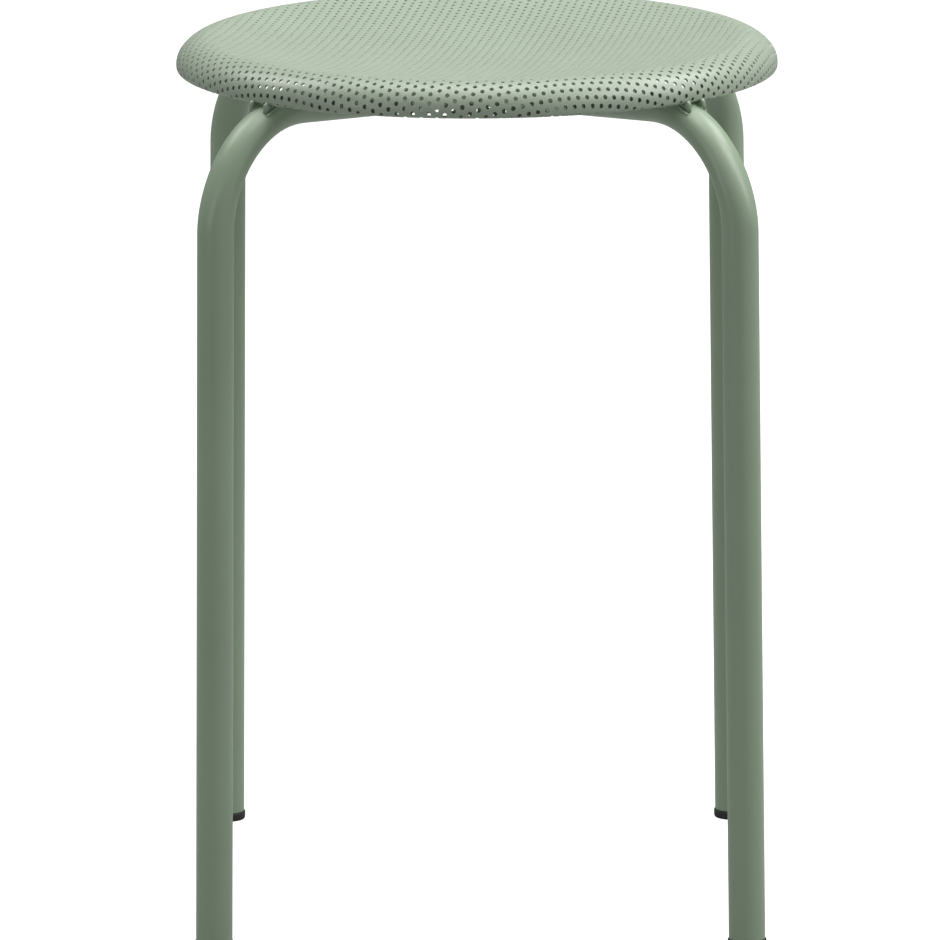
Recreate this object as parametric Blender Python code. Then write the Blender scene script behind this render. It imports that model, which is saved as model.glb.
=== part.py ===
"""Round stool: a dished seat pan with a rolled rim, carried on two crossed hoops of steel tube.

Metres, +Z up. The origin is on the floor under the middle of the seat, and -Y is the front.
"""
import math

import bmesh
import bpy
from mathutils import Matrix, Vector

# Seat pan: a dish whose rim rolls over its top on one radius and down its side on a tighter one
SEAT_DIAMETER = 0.315
SEAT_HEIGHT = 0.457
SHEET = 0.0013
TOP_RADIUS = 0.0185
SIDE_RADIUS = 0.0112
RIM_SHOULDER = math.radians(36)
RIM_TUCK = math.radians(12)
DISH_DEPTH = 0.0145

# Holes: rows in the dish, turned so that both hoops cross them alike, and a ring over the rim
HOLE_DIAMETER = 0.0125
HOLE_PITCH = 0.0262
HOLE_TURN = math.radians(15)
HOLE_MARGIN = 0.003

# Tube frame
TUBE_DIAMETER = 0.019
TUBE_WALL = 0.0015
LEG_OUTSET = 0.0323
LEG_SPLAY = math.radians(0.9)
BEND_RADIUS = 0.060
CROWN_RADIUS = 0.250
ARM_CLEARANCE = 0.0018

# Lugs between the bends and the rim
LUG_THICKNESS = 0.002
LUG_WIDTH = 0.0065
LUG_ANGLE = math.radians(34)

# Foot caps
CAP_HEAD = 0.0045
CAP_OVERHANG = 0.0006
CAP_EDGE = 0.0018
CAP_STEM = 0.016
CAP_CHAMFER = 0.0005
CAP_RIB = 0.0008
CAP_RIBS = 3

# Left between pieces that touch
GAP = 0.0003

# Facets
SEAT_SEGMENTS = 64
HOLE_SIDES = 8
DISH_RINGS = 7
TOP_RINGS = 5
SIDE_RINGS = 4
TUBE_SIDES = 20
BEND_STEPS = 11
CROWN_STEPS = 2
EDGE_STEPS = 3

# Where each leg stands, as a turn about the upright axis
CORNERS = {
    "front_left": math.radians(225),
    "front_right": math.radians(315),
    "back_right": math.radians(45),
    "back_left": math.radians(135),
}

# The seat pan's curves: where their middles lie, out from the middle of the stool and up from the floor
SEAT_RADIUS = SEAT_DIAMETER / 2
SIDE_CENTRE = SEAT_RADIUS - SIDE_RADIUS
TOP_CENTRE = SIDE_CENTRE - (TOP_RADIUS - SIDE_RADIUS) * math.cos(RIM_SHOULDER)
TOP_LEVEL = SEAT_HEIGHT - TOP_RADIUS
SIDE_LEVEL = TOP_LEVEL + (TOP_RADIUS - SIDE_RADIUS) * math.sin(RIM_SHOULDER)
DISH_SLOPE = 2 * math.atan(DISH_DEPTH / TOP_CENTRE)
DISH_SPHERE = TOP_CENTRE / math.sin(DISH_SLOPE) - TOP_RADIUS
SPHERE_HEIGHT = SEAT_HEIGHT - DISH_DEPTH + DISH_SPHERE

# The flat blank, out from its middle to where each curve ends
DISH_REACH = DISH_SPHERE * DISH_SLOPE
TOP_REACH = DISH_REACH + TOP_RADIUS * (math.pi / 2 + DISH_SLOPE - RIM_SHOULDER)
BLANK_RADIUS = TOP_REACH + SIDE_RADIUS * (RIM_SHOULDER + RIM_TUCK)

# The tube hoops, in their own upright plane: distance from the middle of the stool, and height
TUBE_RADIUS = TUBE_DIAMETER / 2
BEND_OUTSIDE = BEND_RADIUS + TUBE_RADIUS
BEND_START = SEAT_RADIUS + LEG_OUTSET
BEND_CENTRE = BEND_START - BEND_RADIUS * math.cos(LEG_SPLAY)
RIM_INSIDE = SIDE_RADIUS - SHEET
SEATING = SIDE_CENTRE + RIM_INSIDE * math.cos(RIM_TUCK)
SEATING_HEIGHT = SIDE_LEVEL - RIM_INSIDE * math.sin(RIM_TUCK) - GAP
BEND_HEIGHT = SEATING_HEIGHT - math.sqrt(BEND_OUTSIDE ** 2 - (SEATING - BEND_CENTRE) ** 2)

# The arms dip along the line that touches the outside of the bend and clears the dish from below
SPHERE_RISE = SPHERE_HEIGHT - BEND_HEIGHT
TOUCH = (DISH_SPHERE + SHEET + ARM_CLEARANCE + BEND_OUTSIDE) / math.hypot(BEND_CENTRE, SPHERE_RISE)
ARM_DIP = math.atan2(BEND_CENTRE, SPHERE_RISE) - math.acos(TOUCH)
ARM_START = BEND_CENTRE - BEND_RADIUS * math.sin(ARM_DIP)
ARM_END = CROWN_RADIUS * math.sin(ARM_DIP)
ARM_LENGTH = (ARM_START - ARM_END) / math.cos(ARM_DIP)
CROWN_HEIGHT = (BEND_HEIGHT - BEND_CENTRE * math.tan(ARM_DIP)
                + (BEND_RADIUS + CROWN_RADIUS) / math.cos(ARM_DIP))

# The legs, from the floor to the start of the bend
LEG_TOP = BEND_HEIGHT + BEND_RADIUS * math.sin(LEG_SPLAY)
LEG_FOOT = BEND_START + LEG_TOP * math.tan(LEG_SPLAY)
LEG_LENGTH = LEG_TOP / math.cos(LEG_SPLAY)


def clear_scene():
    for item in list(bpy.data.objects):
        bpy.data.objects.remove(item, do_unlink=True)


def finish(name, colour, roughness, metallic=0.0):
    """A plain coat of one colour."""
    material = bpy.data.materials.new(name)
    material.use_nodes = True
    material.diffuse_color = (*colour, 1.0)
    shader = material.node_tree.nodes["Principled BSDF"]
    shader.inputs["Base Color"].default_value = (*colour, 1.0)
    shader.inputs["Roughness"].default_value = roughness
    shader.inputs["Metallic"].default_value = metallic
    return material


def place(name, bm, material=None, turn=0.0):
    """Makes an object of a mesh, turned about the upright axis."""
    mesh = bpy.data.meshes.new(name)
    bmesh.ops.recalc_face_normals(bm, faces=bm.faces)
    bm.to_mesh(mesh)
    bm.free()
    mesh.shade_smooth()
    mesh.set_sharp_from_angle(angle=math.radians(35))
    if material:
        mesh.materials.append(material)
    item = bpy.data.objects.new(name, mesh)
    item.rotation_euler.z = turn
    bpy.context.scene.collection.objects.link(item)
    return item


def guide(name, bm, turn=0.0):
    """A shape that only trims others."""
    item = place(name, bm, turn=turn)
    item.hide_render = True
    item.display_type = "WIRE"
    return item


def trim(item, cutter, operation="DIFFERENCE"):
    cut = item.modifiers.new(cutter.name, "BOOLEAN")
    cut.operation = operation
    cut.solver = "EXACT"
    cut.object = cutter


def turned(outline, segments):
    """Turns an outline of radius and height, from axis to axis, round the upright axis."""
    bm = bmesh.new()
    verts = [bm.verts.new((radius, 0, height)) for radius, height in outline]
    edges = [bm.edges.new(pair) for pair in zip(verts, verts[1:])]
    bmesh.ops.spin(bm, geom=verts + edges, cent=(0, 0, 0), axis=(0, 0, 1),
                   angle=math.tau, steps=segments, use_merge=True)
    bmesh.ops.remove_doubles(bm, verts=bm.verts, dist=0.000001)
    return bm


def arc(centre, height, radius, start, end, steps):
    """Points on an arc in the radius and height plane, angles measured up from straight outwards."""
    angles = [start + (end - start) * step / steps for step in range(steps + 1)]
    return [(centre + radius * math.cos(angle), height + radius * math.sin(angle)) for angle in angles]


def spaced(start, end, steps):
    return [start + (end - start) * step / steps for step in range(1, steps + 1)]


def pressed(reach, depth):
    """Where pressing takes a point of the blank, by its distance from the middle and depth in the sheet."""
    if reach <= DISH_REACH:
        turn = reach / DISH_SPHERE
        sphere = DISH_SPHERE + depth
        return sphere * math.sin(turn), SPHERE_HEIGHT - sphere * math.cos(turn)
    if reach <= TOP_REACH:
        turn = math.pi / 2 + DISH_SLOPE - (reach - DISH_REACH) / TOP_RADIUS
        curve = TOP_RADIUS - depth
        return TOP_CENTRE + curve * math.cos(turn), TOP_LEVEL + curve * math.sin(turn)
    turn = RIM_SHOULDER - (reach - TOP_REACH) / SIDE_RADIUS
    curve = SIDE_RADIUS - depth
    return SIDE_CENTRE + curve * math.cos(turn), SIDE_LEVEL + curve * math.sin(turn)


def rim_rings():
    """Where the facets of the rolled rim meet, as distances from the middle of the blank."""
    return spaced(DISH_REACH, TOP_REACH, TOP_RINGS) + spaced(TOP_REACH, BLANK_RADIUS, SIDE_RINGS)


def hole_middles():
    """A grid of equal triangles, as far out as whole six-sided cells fit in the dish."""
    rows = [Vector((math.cos(turn), math.sin(turn), 0)) * HOLE_PITCH
            for turn in (HOLE_TURN, HOLE_TURN + math.pi / 3)]
    furthest = DISH_REACH - HOLE_MARGIN - HOLE_PITCH / math.sqrt(3)
    most = math.ceil(furthest / (HOLE_PITCH * math.sin(math.pi / 3)))
    places = range(-most, most + 1)
    grid = [rows[0] * first + rows[1] * second for first in places for second in places]
    return [middle for middle in grid if middle.length <= furthest]


def only(kind, geom):
    return [item for item in geom if isinstance(item, kind)]


def edges_of(verts):
    """The edges that meet at any of some vertices, each one once."""
    return list(dict.fromkeys(edge for vert in verts for edge in vert.link_edges))


def circle(bm, segments, radius, spot=Matrix()):
    return bmesh.ops.create_circle(bm, segments=segments, radius=radius, matrix=spot)["verts"]


def perforated_blank():
    """The flat upper face: a cell round each hole, plain sheet out to the rim, and the rim's rings."""
    bm = bmesh.new()
    holes = set()
    for middle in hole_middles():
        spot = Matrix.Translation(middle) @ Matrix.Rotation(HOLE_TURN, 4, "Z")
        cell = circle(bm, 6, HOLE_PITCH / math.sqrt(3), spot)
        hole = circle(bm, HOLE_SIDES, HOLE_DIAMETER / 2, spot)
        bmesh.ops.bridge_loops(bm, edges=edges_of(cell + hole))
        holes.update(hole)
    bmesh.ops.remove_doubles(bm, verts=bm.verts, dist=HOLE_PITCH / 1000)

    border = [edge for edge in bm.edges if edge.is_boundary and not holes.intersection(edge.verts)]
    ring = circle(bm, SEAT_SEGMENTS, DISH_REACH)
    around = edges_of(ring)
    bmesh.ops.triangle_fill(bm, use_beauty=True, edges=border + around, normal=(0, 0, 1))

    rows = []
    for reach in rim_rings():
        drawn = bmesh.ops.extrude_edge_only(bm, edges=around)["geom"]
        ring = only(bmesh.types.BMVert, drawn)
        for vert in ring:
            vert.co = vert.co.normalized() * reach
        around = [edge for edge in only(bmesh.types.BMEdge, drawn)
                  if all(vert in ring for vert in edge.verts)]
        rows.append(only(bmesh.types.BMFace, drawn))
    perforated_rim(bm, rows[:TOP_RINGS - 1])
    return bm


def perforated_rim(bm, rows):
    """A ring of holes, each one in the middle of a block of facets two wide and as tall as the rows."""
    reach = (DISH_REACH + rim_rings()[len(rows) - 1]) / 2
    step = math.tau / SEAT_SEGMENTS
    for number in range(1, SEAT_SEGMENTS, 2):
        turn = math.pi / 2 + number * step
        middle = Vector((math.cos(turn), math.sin(turn), 0)) * reach
        block = [facet for row in rows for facet in row
                 if facet.is_valid and facet.calc_center_median().angle(middle) < step]
        border = [edge for facet in block for edge in facet.edges
                  if sum(neighbour in block for neighbour in edge.link_faces) == 1]
        bmesh.ops.delete(bm, geom=block, context="FACES")
        spot = Matrix.Translation(middle) @ Matrix.Rotation(turn, 4, "Z")
        hole = circle(bm, HOLE_SIDES, HOLE_DIAMETER / 2, spot)
        bmesh.ops.triangle_fill(bm, use_beauty=True, edges=border + edges_of(hole), normal=(0, 0, 1))


def seat_pan(material):
    """A perforated blank of sheet, pressed to a shallow dish and rolled over and down at its rim."""
    bm = perforated_blank()
    upper = set(bm.verts)
    bmesh.ops.extrude_face_region(bm, geom=bm.verts[:] + bm.edges[:] + bm.faces[:], use_keep_orig=True)
    for vert in bm.verts:
        outwards = vert.co.normalized()
        radius, height = pressed(vert.co.length, 0 if vert in upper else SHEET)
        vert.co = (outwards.x * radius, outwards.y * radius, height)
    return place("seat_pan", bm, material)


def pan_surface(offset):
    """One face of the pan, from the middle of the dish over the rim to its raw edge.

    The offset is how far the face lies under the seat's upper face.
    """
    return [pressed(reach, offset) for reach in [0] + spaced(0, DISH_REACH, DISH_RINGS) + rim_rings()]


def pan_hollow():
    """The space under the pan, a touching gap clear of it and open downwards."""
    ceiling = pan_surface(SHEET + GAP)
    mouth = ceiling[-1][0]
    outline = [(0, ceiling[0][1])] + ceiling[1:] + [(mouth, BEND_HEIGHT), (0, BEND_HEIGHT)]
    return guide("pan_hollow", turned(outline, SEAT_SEGMENTS))


def tube_end(radius, bore, start, direction):
    """The first end of a tube in the hoop's plane, as flat faces square to its direction."""
    bm = bmesh.new()
    bmesh.ops.create_circle(bm, segments=TUBE_SIDES, radius=radius, cap_ends=not bore)
    if bore:
        bmesh.ops.create_circle(bm, segments=TUBE_SIDES, radius=bore)
        bmesh.ops.bridge_loops(bm, edges=bm.edges)
    aim = Vector((0, 0, 1)).rotation_difference(direction).to_matrix().to_4x4()
    bmesh.ops.transform(bm, matrix=Matrix.Translation(start) @ aim, verts=bm.verts)
    return bm, bm.verts[:] + bm.edges[:] + bm.faces[:]


def run(bm, end, travel):
    """Draws the end of a tube on in a straight line."""
    made = bmesh.ops.extrude_face_region(bm, geom=end)["geom"]
    bmesh.ops.translate(bm, verts=only(bmesh.types.BMVert, made), vec=travel)
    return made


def bend(bm, end, centre, angle, steps):
    """Draws the end of a tube on round a centre in the hoop's plane, inwards for a positive angle."""
    return bmesh.ops.spin(bm, geom=end, cent=centre, axis=(0, -1, 0), angle=angle, steps=steps)["geom_last"]


def leg_and_arm(radius, bore):
    """One leg from its foot up round the bend, and its arm down to the crown over the middle."""
    up = Vector((-math.sin(LEG_SPLAY), 0, math.cos(LEG_SPLAY)))
    foot = Vector((LEG_FOOT, 0, 0)) + up * (CAP_HEAD + GAP)
    inwards = Vector((-math.cos(ARM_DIP), 0, -math.sin(ARM_DIP)))
    bm, end = tube_end(radius, bore, foot, up)
    end = run(bm, end, up * (LEG_LENGTH - CAP_HEAD - GAP))
    end = bend(bm, end, (BEND_CENTRE, 0, BEND_HEIGHT), math.pi / 2 + ARM_DIP - LEG_SPLAY, BEND_STEPS)
    end = run(bm, end, inwards * ARM_LENGTH)
    return bm, end


def hoop(radius, bore):
    """Two legs and the arm across, which dips to a gentle bend over the middle."""
    outwards = Vector((-math.cos(ARM_DIP), 0, math.sin(ARM_DIP)))
    down = Vector((-math.sin(LEG_SPLAY), 0, -math.cos(LEG_SPLAY)))
    bm, end = leg_and_arm(radius, bore)
    end = bend(bm, end, (0, 0, CROWN_HEIGHT), -2 * ARM_DIP, 2 * CROWN_STEPS)
    end = run(bm, end, outwards * ARM_LENGTH)
    end = bend(bm, end, (-BEND_CENTRE, 0, BEND_HEIGHT), math.pi / 2 + ARM_DIP - LEG_SPLAY, BEND_STEPS)
    run(bm, end, down * (LEG_LENGTH - CAP_HEAD - GAP))
    return bm


def half_hoop(name, material, turn, across):
    """A leg and its arm, cut at the inner end to saddle on the hoop that it meets."""
    bm, end = leg_and_arm(TUBE_RADIUS, TUBE_RADIUS - TUBE_WALL)
    bend(bm, end, (0, 0, CROWN_HEIGHT), -ARM_DIP, CROWN_STEPS)
    item = place(name, bm, material, turn)
    trim(item, across)
    return item


def seat_lugs(corner, turn, material, hollow, tube):
    """A pair of upright tabs that stand on the crest of the bend and reach up inside the rim."""
    spread = TUBE_RADIUS * math.sin(LUG_ANGLE)
    inner = SEATING - LUG_WIDTH
    low = BEND_HEIGHT + math.sqrt(BEND_RADIUS ** 2 - (SEATING - BEND_CENTRE) ** 2)
    for number, side in enumerate((-spread, spread), start=1):
        bm = bmesh.new()
        size = Matrix.Diagonal((SEAT_RADIUS - inner, LUG_THICKNESS, SEAT_HEIGHT - low, 1))
        centre = Matrix.Translation(((SEAT_RADIUS + inner) / 2, side, (low + SEAT_HEIGHT) / 2))
        bmesh.ops.create_cube(bm, size=1, matrix=centre @ size)
        lug = place(f"seat_lug_{corner}_{number}", bm, material, turn)
        trim(lug, hollow, "INTERSECT")
        trim(lug, tube)


def foot_cap(corner, turn, material):
    """A plug with a rounded head under the tube and a ribbed stem up its bore, trimmed level below."""
    head = TUBE_RADIUS + CAP_OVERHANG
    rib = TUBE_RADIUS - TUBE_WALL - GAP
    stem = rib - CAP_RIB
    pitch = CAP_STEM / (CAP_RIBS + 1)
    spare = head * math.tan(LEG_SPLAY) + GAP
    sole = arc(head - CAP_EDGE, CAP_EDGE - spare, CAP_EDGE, -math.pi / 2, 0, EDGE_STEPS)
    outline = [(0, -spare)] + sole
    outline += [(head, CAP_HEAD - CAP_CHAMFER), (head - CAP_CHAMFER, CAP_HEAD), (stem, CAP_HEAD)]
    for number in range(1, CAP_RIBS + 1):
        level = CAP_HEAD + pitch * number
        outline += [(stem, level - CAP_RIB), (rib, level), (stem, level + CAP_RIB)]
    top = CAP_HEAD + CAP_STEM
    outline += [(stem, top - CAP_RIB), (stem - CAP_RIB, top), (0, top)]
    bm = turned(outline, TUBE_SIDES)
    lean = Matrix.Translation((LEG_FOOT, 0, 0)) @ Matrix.Rotation(-LEG_SPLAY, 4, "Y")
    bmesh.ops.transform(bm, matrix=lean, verts=bm.verts)
    everything = bm.verts[:] + bm.edges[:] + bm.faces[:]
    cut = bmesh.ops.bisect_plane(bm, geom=everything, plane_co=(0, 0, 0), plane_no=(0, 0, -1),
                                 clear_outer=True)
    bmesh.ops.contextual_create(bm, geom=only(bmesh.types.BMEdge, cut["geom_cut"]))
    return place(f"foot_cap_{corner}", bm, material, turn)


def main():
    clear_scene()
    pan_coat = finish("seat_powder_coat", (0.33, 0.385, 0.325), 0.5)
    tube_coat = finish("tube_powder_coat", (0.32, 0.375, 0.315), 0.45)
    lug_coat = finish("lug_powder_coat", (0.32, 0.375, 0.315), 0.5)
    cap_plastic = finish("cap_black_plastic", (0.02, 0.02, 0.02), 0.55)

    seat_pan(pan_coat)
    place("frame_hoop", hoop(TUBE_RADIUS, TUBE_RADIUS - TUBE_WALL), tube_coat, CORNERS["back_right"])

    hollow = pan_hollow()
    through = guide("hoop_clearance", hoop(TUBE_RADIUS + GAP, 0), CORNERS["back_right"])
    crossing = guide("half_hoop_clearance", hoop(TUBE_RADIUS + GAP, 0), CORNERS["back_left"])
    for corner in ("front_right", "back_left"):
        half_hoop(f"frame_half_{corner}", tube_coat, CORNERS[corner], through)

    for corner, turn in CORNERS.items():
        under = crossing if corner in ("front_right", "back_left") else through
        seat_lugs(corner, turn, lug_coat, hollow, under)
        foot_cap(corner, turn, cap_plastic)


main()
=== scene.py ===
"""Round stool with a perforated seat pan on crossed tube hoops, dressed for a studio picture.

Metres, +Z up. The origin is on the floor under the middle of the seat, and -Y is the front.
"""
import math
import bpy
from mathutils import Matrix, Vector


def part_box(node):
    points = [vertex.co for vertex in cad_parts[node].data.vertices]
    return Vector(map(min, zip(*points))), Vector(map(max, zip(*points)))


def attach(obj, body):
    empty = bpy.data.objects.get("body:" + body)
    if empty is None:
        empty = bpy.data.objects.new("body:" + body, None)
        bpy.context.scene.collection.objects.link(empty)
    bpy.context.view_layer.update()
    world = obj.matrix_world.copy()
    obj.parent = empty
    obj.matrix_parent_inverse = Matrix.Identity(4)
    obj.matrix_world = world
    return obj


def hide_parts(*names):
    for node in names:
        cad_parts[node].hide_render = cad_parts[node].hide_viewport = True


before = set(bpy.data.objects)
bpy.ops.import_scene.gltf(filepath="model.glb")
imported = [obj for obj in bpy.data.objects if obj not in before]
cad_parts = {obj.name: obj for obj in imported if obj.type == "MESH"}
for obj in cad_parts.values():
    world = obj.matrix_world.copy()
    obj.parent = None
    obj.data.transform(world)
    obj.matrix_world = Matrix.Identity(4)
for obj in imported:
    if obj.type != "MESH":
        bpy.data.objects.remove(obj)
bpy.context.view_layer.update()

from types import SimpleNamespace

import bmesh
import bpy
import numpy as np
from bpy.props import FloatProperty, FloatVectorProperty, IntProperty, PointerProperty
from mathutils import Matrix, Vector

bl_info = {
    "name": "Perforated Stool",
    "version": (1, 0, 0),
    "blender": (4, 5, 0),
    "location": "3D View > Sidebar > Stool",
    "description": "Builds a round stool with a perforated seat pan on crossed tube hoops",
    "category": "Add Mesh",
}

BODY = "root"

# Where each leg stands, as a turn about the upright axis
CORNERS = {
    "front_left": math.radians(225),
    "front_right": math.radians(315),
    "back_right": math.radians(45),
    "back_left": math.radians(135),
}
HALF_HOOPS = ("front_right", "back_left")

# Left between pieces that touch
GAP = 0.0003

# Points nearer than this are merged
SAME_PLACE = 0.000001

# Stands in for a length of nothing in a division
SHORTEST = 1e-9

# Edges that turn by more than this are shaded sharp
SHARP = math.radians(40)

# The powder coat's slow drift of tone and its flecks: waves to a metre, and shares of the mottle
DRIFT_WAVES, DRIFT_SHARE = 14.0, 4.0
FLECK_WAVES, FLECK_SHARE = 900.0, 1.5

# Painted highlight at the edges of the holes: how much paler the coat is made there and how fast that
# falls off; and how far the coat's roughness drifts
PAINTED_EDGE_HIGHLIGHT = 0.16
PAINTED_HIGHLIGHT_FALL = 4.0
ROUGHNESS_DRIFT = 0.12

# The moulded plastic: waves to a metre, its darkest and lightest tone, and its roughness
SPARK_WAVES = 2500.0
SMEAR_WAVES = 120.0
DARKEST, LIGHTEST = 0.8, 1.25
SMOOTHEST, ROUGHNESS_SMEAR = 0.45, 0.2

# Share of its radius by which the ends of a weld bead are rounded
BEAD_ENDS = 0.6

# The studio: the point that the lights face, the camera's sensor in millimetres, and its far limit
LIT_POINT = (0, 0, 0.3)
SENSOR = 36.0
FAR_LIMIT = 50.0


def length(name, description, default, **limits):
    """A size in metres that shows to a hundredth of a millimetre."""
    return FloatProperty(name=name, description=description, default=default, unit="LENGTH",
                         subtype="DISTANCE", precision=5, **limits)


def turning(name, description, degrees):
    """An angle, given in degrees and kept in radians."""
    return FloatProperty(name=name, description=description, default=math.radians(degrees),
                         unit="ROTATION", subtype="ANGLE")


def colour(name, description, default):
    """A colour as light sees it, with no curve for a screen."""
    return FloatVectorProperty(name=name, description=description, default=default,
                               subtype="COLOR", size=3, min=0.0, max=1.0)


def count(name, description, default, low=1):
    """A number of steps, sides or pieces."""
    return IntProperty(name=name, description=description, default=default, min=low)


def factor(name, description, default, high=1.0):
    """A share, mostly from none to all."""
    return FloatProperty(name=name, description=description, default=default, min=0.0, max=high,
                         subtype="FACTOR")


def amount(name, description, default, unit="NONE"):
    """A quantity that can't be less than nothing."""
    return FloatProperty(name=name, description=description, default=default, min=0.0, unit=unit)


def watts(name, description, default):
    """The power of a lamp."""
    return amount(name, description, default, "POWER")


class SeatSizes(bpy.types.PropertyGroup):
    """The seat pan and its holes."""

    diameter: length("Diameter", "Across the rim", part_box("seat_pan")[1].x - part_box("seat_pan")[0].x)
    height: length("Height", "From the floor to the top of the rim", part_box("seat_pan")[1].z)
    sheet: length("Sheet", "Thickness of the sheet", 0.0013)
    top_radius: length("Top Radius", "Outside radius of the rim over its top", 0.0185)
    side_radius: length("Side Radius", "Outside radius of the rim down its side", 0.0112)
    rim_shoulder: turning("Rim Shoulder", "Angle up from level at which the two radii meet", 36.0)
    rim_tuck: turning("Rim Tuck", "How far past upright a rim with no hem ends on the tubes", 12.0)
    hem_start: turning("Hem Start", "How far the rim rolls in past upright before its hem", 7.0)
    hem_fold: length("Hem Fold", "Outside radius of the fold at the bottom of the rim", 0.0017)
    hem_rise: turning("Hem Rise", "How far the hem follows the inside of the rim up again", 32.0)
    dish_depth: length("Dish Depth", "From the top of the rim down to the middle", 0.0145)
    hole: length("Hole", "Diameter of each hole", 0.0024)
    pitch: length("Pitch", "Between the middles of neighbouring holes", 0.00502)
    lean: turning("Lean", "Turn of the rows of holes from the depth of the seat", 10.7)
    shift_across: length("Shift Across", "Place of the hole nearest the middle, to the right", 0.00493)
    shift_along: length("Shift Along", "Place of the hole nearest the middle, to the back", 0.00072)
    rim_stretch: factor("Rim Stretch", "How much the sheet lengthens as the rim is rolled", 0.09)
    hole_softness: factor("Hole Softness", "How far the edges of a hole are shaded as round", 1.35, 3.0)
    hole_sides: count("Hole Sides", "Sides of each hole", 8, 3)
    fold_steps: count("Fold Steps", "Steps round the fold", 6, 2)


class FrameSizes(bpy.types.PropertyGroup):
    """The tube hoops."""

    tube: length("Tube", "Outside diameter of the tube", 0.019)
    wall: length("Wall", "Wall of the tube", 0.0015)
    leg_outset: length("Leg Outset", "How far the legs stand outside the seat at the bend", 0.0323)
    leg_splay: turning("Leg Splay", "Lean of the legs", 0.9)
    bend_radius: length("Bend Radius", "Middle line of the bend at the top of each leg", 0.060)
    flat_outside: factor("Flat Outside", "How far the outside of a bend flattens as it is bent", 0.2)
    flat_inside: factor("Flat Inside", "How far the inside of a bend flattens as it is bent", 0.07)
    flat_onset: amount("Flat Onset", "How steeply the flattening sets in from each end of a bend", 3.0)
    crown_radius: length("Crown Radius", "Middle line of the bend over the middle", 0.250)
    arm_clearance: length("Arm Clearance", "Between the arms and the dish", 0.0018)
    sides: count("Sides", "Sides of the tube", 48, 8)
    bend_steps: count("Bend Steps", "Steps round each bend", 28)
    crown_steps: count("Crown Steps", "Steps from an arm to the middle", 4)


class LugSizes(bpy.types.PropertyGroup):
    """The lugs between the bends and the rim, and the welds."""

    thickness: length("Thickness", "Thickness of a lug", 0.0024)
    inwards: length("Inwards", "How far a lug reaches in from the seating of the rim", 0.0035)
    outwards: length("Outwards", "How far a lug stands out past the seating of the rim", 0.0036)
    around: turning("Around", "Turn of each lug from the crest of the tube", 33.0)
    rounding: length("Rounding", "Rounding of the edges of a lug", 0.0009)
    shoulder: length("Shoulder", "Rounding of the outer top corner of a lug", 0.0022)
    room_sides: count("Room Sides", "Sides of the round room that the pan leaves for the lugs", 180, 8)
    bead: length("Bead", "Radius of the weld bead at a lug", 0.0009)
    joint_bead: length("Joint Bead", "Radius of the weld bead where the hoops cross", 0.0016)
    bead_sides: count("Bead Sides", "Sides of a weld bead", 12, 6)
    bead_steps: count("Bead Steps", "Steps along the weld bead of a lug", 10)


class CapSizes(bpy.types.PropertyGroup):
    """The foot caps."""

    head: length("Head", "Height of the head under the tube", 0.0045)
    overhang: length("Overhang", "How far the head stands proud of the tube", 0.0006)
    edge: length("Edge", "Rounding round the sole", 0.0018)
    lip: length("Lip", "Rounding round the top of the head", 0.0006)
    stem: length("Stem", "Length of the stem in the tube", 0.016)
    rib: length("Rib", "Height of each rib on the stem", 0.0008)
    ribs: count("Ribs", "Ribs on the stem", 3)
    sides: count("Sides", "Sides of the cap", 64, 8)
    edge_steps: count("Edge Steps", "Steps round each rounding", 6)


class Finishes(bpy.types.PropertyGroup):
    """Colours and surfaces."""

    # The seat has the same powder coat as the tubes; its colour is made paler and greyer here, as painted
    # sheen for the light on the seat's top
    seat: colour("Seat", "Powder coat of the seat", (0.322, 0.387, 0.300))
    tubes: colour("Tubes", "Powder coat of the tubes", (0.288, 0.378, 0.266))
    plastic: colour("Plastic", "Foot caps", (0.02, 0.02, 0.02))
    roughness: factor("Roughness", "Roughness of the powder coat", 0.36)
    mottle: factor("Mottle", "Change of tone over the coat", 0.03)
    grain: length("Grain", "Size of the grain of the coat", 0.0006)
    grain_depth: length("Grain Depth", "Height of the grain of the coat", 0.00001)


class StudioSettings(bpy.types.PropertyGroup):
    """Camera, lights and floor."""

    distance: length("Distance", "From the camera to the point that it looks at", 5.1)
    elevation: turning("Elevation", "Height of the camera over the horizon", 12.13)
    roll: turning("Roll", "Turn of the camera about its own line of sight", -0.24)
    aim_across: length("Aim Across", "Point that the camera looks at, to the right", -0.00452)
    aim_height: length("Aim Height", "Height of the point that the camera looks at", 0.2239)
    lens: FloatProperty(name="Lens", description="Focal length of the camera, in millimetres",
                        default=369.5, min=1.0, unit="CAMERA")
    top_light: watts("Top Light", "Power of the light straight overhead", 13.0)
    middle_light: watts("Middle Light", "Power of the light overhead and a little behind", 12.3)
    back_right_light: watts("Back Right Light", "Power of the light up behind on the right", 16.0)
    back_left_light: watts("Back Left Light", "Power of the light up behind on the left", 12.7)
    right_light: watts("Right Light", "Power of the light high up on the right", 12.5)
    low_right_light: watts("Low Right Light", "Power of the lower light on the right", 10.3)
    front_left_light: watts("Front Left Light", "Power of the light in front on the left", 8.1)
    front_right_light: watts("Front Right Light", "Power of the light in front on the right", 1.5)
    fill: amount("Fill", "Brightness of the room for everything but the camera", 0.215)
    floor: factor("Floor", "How much light the floor gives back", 0.4)
    floor_glow: amount("Floor Glow", "What the camera alone sees the floor brighter by", 0.95)
    floor_radius: length("Floor Radius", "Middle of the floor to its edge", 6.0)
    floor_sides: count("Floor Sides", "Sides of the floor", 96, 8)


def in_use():
    """All the settings, by short names."""
    scene = bpy.context.scene
    return SimpleNamespace(seat=scene.stool_seat, frame=scene.stool_frame, lugs=scene.stool_lugs,
                           caps=scene.stool_caps, finishes=scene.stool_finishes,
                           studio=scene.stool_studio)


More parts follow.
